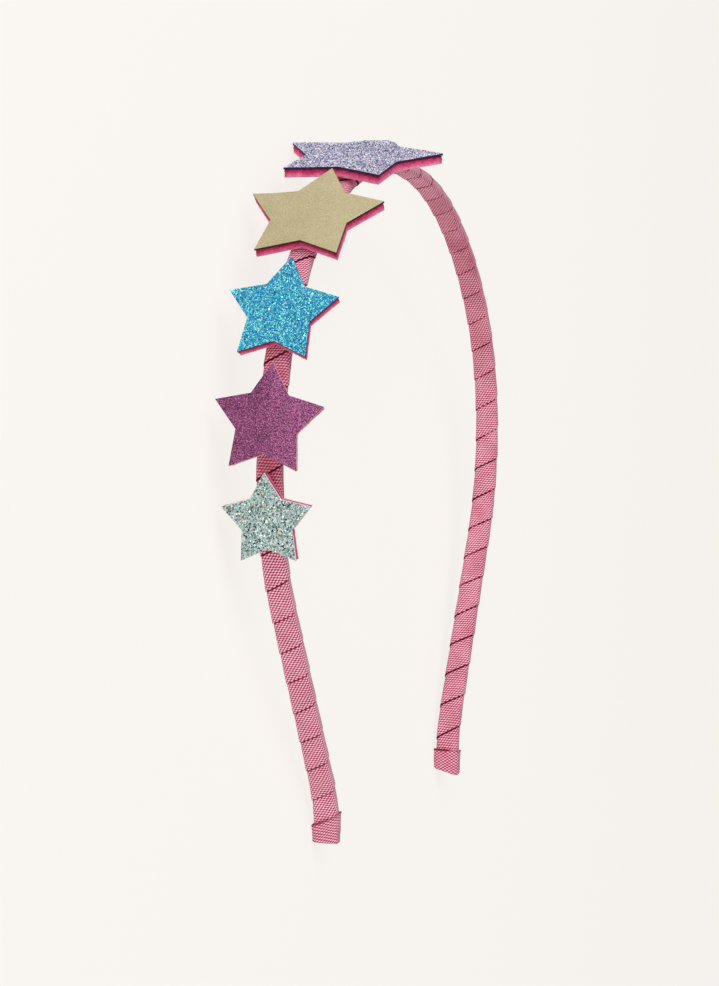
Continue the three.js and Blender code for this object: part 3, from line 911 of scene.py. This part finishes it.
def fibres(star, depth, number, seed, trim):
    """Points and faces of loose felt fibres, thin tapered threads along the cut edge, drawn in by trim."""
    random = shuffled(seed)
    outline = star.outline()
    points, faces = [], []
    for _ in range(number):
        place = random.uniform(0, len(outline))
        index = int(place) % len(outline)
        share = place - int(place)
        root = outline[index] * (1 - share) + outline[(index + 1) % len(outline)] * share
        root = root * (1 - trim / np.linalg.norm(root))
        length = random.uniform(*FIBRE_LENGTHS)
        out = root / np.linalg.norm(root)
        side = np.array([-out[1], out[0]])
        direction = out * random.uniform(*FIBRE_OUT) + side * random.normal(0, FIBRE_ASIDE)
        rise = random.normal(0, FIBRE_RISE)
        top = star.surface(*(root * JUST_INSIDE))
        if top is None:
            continue
        height = top - random.uniform(FIBRE_BELOW_TOP, depth - FIBRE_ABOVE_BACK)
        bend = side * random.normal(0, FIBRE_BEND)
        base = len(points)
        radius = random.uniform(*FIBRE_RADII)
        for knot in range(FIBRE_KNOTS):
            t = knot / (FIBRE_KNOTS - 1)
            at = root * FIBRE_ROOT + (direction * t + bend * t * t) * length
            level = height + rise * t * length
            for corner in range(FIBRE_SIDES):
                angle = corner * 2 * math.pi / FIBRE_SIDES
                r = radius * (1 - FIBRE_TAPER * t)
                offset = side * (r * math.cos(angle))
                points.append(star.at(at[0] + offset[0], at[1] + offset[1], level + r * math.sin(angle)))
        thread = grid_faces(FIBRE_KNOTS, FIBRE_SIDES)
        thread.append(tuple(range(FIBRE_SIDES))[::-1])
        thread.append(tuple(range((FIBRE_KNOTS - 1) * FIBRE_SIDES, FIBRE_KNOTS * FIBRE_SIDES)))
        faces += [tuple(base + i for i in face) for face in thread]
    return points, faces


def flakes(name, star, finish, spacing, size, tilt, seed):
    """Glitter flakes stuck all over a star's face: thin six-sided chips at slight random tilts."""
    random = shuffled(seed)
    points, faces, tints = [], [], []
    corner_angle = math.pi / POINTS
    tip = np.array([star.radius, 0.0])
    notch = np.array([math.cos(corner_angle), math.sin(corner_angle)]) * star.notch
    normal = np.array([notch[1] - tip[1], tip[0] - notch[0]])
    normal /= np.linalg.norm(normal)
    reach = tip @ normal
    rows = int(star.radius / (spacing * math.sqrt(3) / 2)) + 1
    columns = int(star.radius / spacing) + 1
    for row in range(-rows, rows + 1):
        for column in range(-columns, columns + 1):
            place = np.array([column + 0.5 * (row % 2), row * math.sqrt(3) / 2]) * spacing
            place = place + random.uniform(-FLAKE_SHIFT, FLAKE_SHIFT, 2) * spacing
            numbers = random.uniform(0, 1, 6)
            angle = math.atan2(place[1], place[0]) % (2 * corner_angle)
            angle = min(angle, 2 * corner_angle - angle)
            length = np.linalg.norm(place)
            folded = np.array([math.cos(angle), math.sin(angle)]) * length
            if folded @ normal > reach - FLAKE_MARGIN:
                continue
            top = star.surface(*place)
            if top is None:
                continue
            radius = size * (FLAKE_LEAST + FLAKE_SPREAD * numbers[0])
            lean = tilt * (numbers[1] ** 1.5)
            heading = numbers[2] * 2 * math.pi
            spin = numbers[3] * math.pi
            height = top + FLAKE_LIFT + radius * math.sin(lean) * FLAKE_TIP_LIFT
            axis = np.array([math.cos(heading), math.sin(heading)])
            base = len(points)
            for level in (0.0, -FLAKE_THICKNESS):
                for corner in range(FLAKE_SIDES):
                    turn = spin + corner * 2 * math.pi / FLAKE_SIDES
                    offset = np.array([math.cos(turn), math.sin(turn)]) * radius
                    drop = (offset @ axis) * math.sin(lean)
                    offset = offset - axis * (offset @ axis) * (1 - math.cos(lean))
                    x, y = place + offset
                    points.append(star.at(x, y, height + level - drop))
            back = base + FLAKE_SIDES
            tints += [numbers[4]] * 2 * FLAKE_SIDES
            faces.append(tuple(range(base, back)))
            faces.append(tuple(range(back, back + FLAKE_SIDES))[::-1])
            for corner in range(FLAKE_SIDES):
                following = (corner + 1) % FLAKE_SIDES
                faces.append((base + corner, back + corner, back + following, base + following))
    return made_object(name, points, faces, finish, smooth=False, tint=tints)


# Which finish each star's face has

LEATHERS = {
    "gold": {
        "tones": (rgb(130, 118, 88), rgb(184, 172, 133), rgb(212, 202, 168)), "cut": rgb(58, 22, 12),
        "grain": 0.2, "contrast": 0.5, "painted_light_share": 0.06, "depth": 0.02, "metallic": 0.35, "roughness": 0.5,
    },
    "purple": {
        "tones": (rgb(38, 4, 32), rgb(114, 42, 90), rgb(200, 120, 170)), "cut": rgb(238, 206, 190),
        "grain": 0.2, "contrast": 1.1, "painted_light_share": 0.1, "depth": 0.05, "metallic": 0.4, "roughness": 0.4,
    },
}
GLITTERS = {
    "lilac": {
        "tones": ((0.0, rgb(82, 84, 142)), (0.24, rgb(150, 152, 198)), (0.46, rgb(188, 188, 222)),
                  (0.56, rgb(150, 184, 218)), (0.63, rgb(255, 255, 255)), (0.97, rgb(250, 210, 228))),
        "cut": rgb(40, 0, 62), "grain": 0.18, "spacing": 0.3, "size": 0.12, "tilt": 0.6,
    },
    "azure": {
        "tones": ((0.0, rgb(22, 96, 154)), (0.18, rgb(40, 136, 190)), (0.64, rgb(58, 170, 198)),
                  (0.8, rgb(108, 228, 218)), (0.95, rgb(190, 250, 244))),
        "cut": rgb(70, 40, 70), "grain": 0.18, "spacing": 0.33, "size": 0.125, "tilt": 0.55,
    },
    "silver": {
        "tones": ((0.0, rgb(118, 140, 140)), (0.3, rgb(172, 192, 188)), (0.56, rgb(220, 232, 228)),
                  (0.76, rgb(46, 60, 68)), (0.9, rgb(150, 214, 214)), (0.96, rgb(222, 222, 180)),
                  (0.985, rgb(218, 182, 198))),
        "cut": rgb(232, 232, 226), "grain": 0.2, "spacing": 0.33, "size": 0.13, "tilt": 0.7,
    },
}


def dress_star(frame, name, kind, trim, felt, seed):
    """The felt of a star, its face, and the glitter on it."""
    nodes = frame["nodes"]
    felt_node, face_node = nodes[f"{name}_felt"], nodes[f"{name}_{kind}"]
    outward = middle_of(face_node) - middle_of(felt_node)
    felt_star, face_star = Star(felt_node, outward), Star(face_node, outward)
    look = LEATHERS[name] if kind == "leather" else GLITTERS[name]
    body = star_sheet(f"{name}_star_felt", felt_star, felt, FELT_DEPTH, FELT_EDGE_ROUND, FELT_ROUGHNESS, seed,
                      trim=trim)
    number = int(felt_star.radius * FIBRES_PER_RADIUS)
    points, faces = fibres(felt_star, FELT_DEPTH, number, seed + 1, trim)
    hair = made_object(f"{name}_fibres", points, faces, felt, smooth=False, depth=np.full(len(points), 0.9))
    join(body, hair)
    settle(body, "raspberry_felt", f"{name}_felt")
    slot = f"{name}_{kind}"
    if kind == "leather":
        finish = leather_finish(slot, **look)
        face = star_sheet(f"{name}_star_face", face_star, finish, SKIN_DEPTH, LEATHER_EDGE_ROUND,
                          LEATHER_ROUGHNESS, seed + 2, SKIN_CUT_FROM)
        settle(face, slot, slot)
        return
    sheet = glitter_finish(slot, look["tones"], look["cut"], look["grain"])
    face = star_sheet(f"{name}_star_face", face_star, sheet, SKIN_DEPTH, GLITTER_EDGE_ROUND,
                      GLITTER_ROUGHNESS, seed + 2, SKIN_CUT_FROM)
    settle(face, slot, slot)
    loose = flakes(f"{name}_flakes", face_star, flake_finish(f"{name}_flake", look["tones"]), look["spacing"],
                   look["size"], look["tilt"], seed + 3)
    settle(loose, slot)


def middle_of(node):
    return np.mean([v.co for v in node.data.vertices], axis=0)


def join(piece, extra):
    """Makes extra part of piece."""
    with bpy.context.temp_override(active_object=piece, selected_editable_objects=[piece, extra]):
        bpy.ops.object.join()


def settle(piece, slot, *replaced):
    """A finished piece rides on the one body and stands for the nodes named; its slot is not used."""
    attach(piece, "root")
    if replaced:
        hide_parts(*replaced)


# Studio


def add_floor():
    half = FLOOR_HALF
    corners = [(-half, -half, 0), (half, -half, 0), (half, half, 0), (-half, half, 0)]
    finish = Finish("studio_floor", Base_Color=rgb(102, 100, 98), Roughness=0.9,
                    Emission_Color=rgb(249, 246, 241), Emission_Strength=0.85)
    floor = made_object("studio_floor", corners, [(0, 1, 2, 3)], finish.material)


def add_light(name, direction, distance, size, power):
    """A square soft light that shines at the middle of the headband from a direction of the frame."""
    data = bpy.data.lights.new(name, "AREA")
    data.shape = "SQUARE"
    data.size = size
    data.energy = power
    light = bpy.data.objects.new(name, data)
    towards = Vector(direction).normalized()
    light.location = Vector((0, 0, 0.015)) + towards * distance
    light.rotation_euler = towards.to_track_quat("Z", "Y").to_euler()
    bpy.context.scene.collection.objects.link(light)


def add_world():
    world = bpy.data.worlds.new("studio_air")
    world.use_nodes = True
    background = world.node_tree.nodes["Background"]
    background.inputs["Color"].default_value = rgb(252, 250, 248)
    background.inputs["Strength"].default_value = 0.4
    bpy.context.scene.world = world


def add_camera(rest):
    """The camera at the photograph's angle to the band, framed so that the crown is at its pixel."""
    turn, rise = math.radians(CAMERA_TURN), math.radians(CAMERA_RISE)
    forward = np.array([math.cos(turn) * math.cos(rise), math.sin(turn) * math.cos(rise), -math.sin(rise)])
    right = np.array([math.sin(turn), -math.cos(turn), 0.0])
    up = np.cross(right, forward)
    off = (np.array(CROWN_PIXEL) - np.array(PHOTO_SIZE) / 2) / FOCAL_PIXELS * CAMERA_DISTANCE
    place = -(forward * CAMERA_DISTANCE + right * off[0] - up * off[1])
    data = bpy.data.cameras.new("camera")
    data.sensor_width = SENSOR
    data.lens = FOCAL_PIXELS / max(PHOTO_SIZE) * SENSOR
    data.clip_start = 0.01
    camera = bpy.data.objects.new("camera", data)
    turned = Matrix([rest.turned(right), rest.turned(up), rest.turned(-forward)]).transposed()
    camera.matrix_world = Matrix.Translation(rest.lay(place)) @ turned.to_4x4()
    bpy.context.scene.collection.objects.link(camera)
    bpy.context.scene.camera = camera


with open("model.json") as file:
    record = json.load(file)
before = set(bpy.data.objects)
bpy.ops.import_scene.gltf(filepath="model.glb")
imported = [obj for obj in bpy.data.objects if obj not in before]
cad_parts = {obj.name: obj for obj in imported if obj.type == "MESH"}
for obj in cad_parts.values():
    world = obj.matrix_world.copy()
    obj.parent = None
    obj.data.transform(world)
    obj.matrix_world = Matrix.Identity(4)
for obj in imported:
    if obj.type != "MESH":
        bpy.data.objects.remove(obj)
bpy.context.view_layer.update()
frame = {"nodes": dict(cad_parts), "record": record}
rest = Rest(frame["record"])
add_camera(rest)
add_world()
add_floor()
add_light("key", (-0.55, 0.75, 0.75), 0.9, 0.7, 5.8)
add_light("fill", (-1.0, -0.5, 0.3), 1.0, 0.8, 3.6)
bpy.context.scene.view_settings.view_transform = "Standard"

ribbon = ribbon_finish()
settle(wound_ribbon(rest, ribbon), "rose_ribbon", "wrapped_band")
for arm_name, arm in ARMS.items():
    settle(tip_cap(f"{arm_name}_fold", arm, rest, ribbon), "rose_ribbon", f"{arm_name}_cap")
felt = felt_finish()
for seed, (name, (kind, trim)) in enumerate(STARS.items()):
    dress_star(frame, name, kind, trim, felt, 10 * seed)
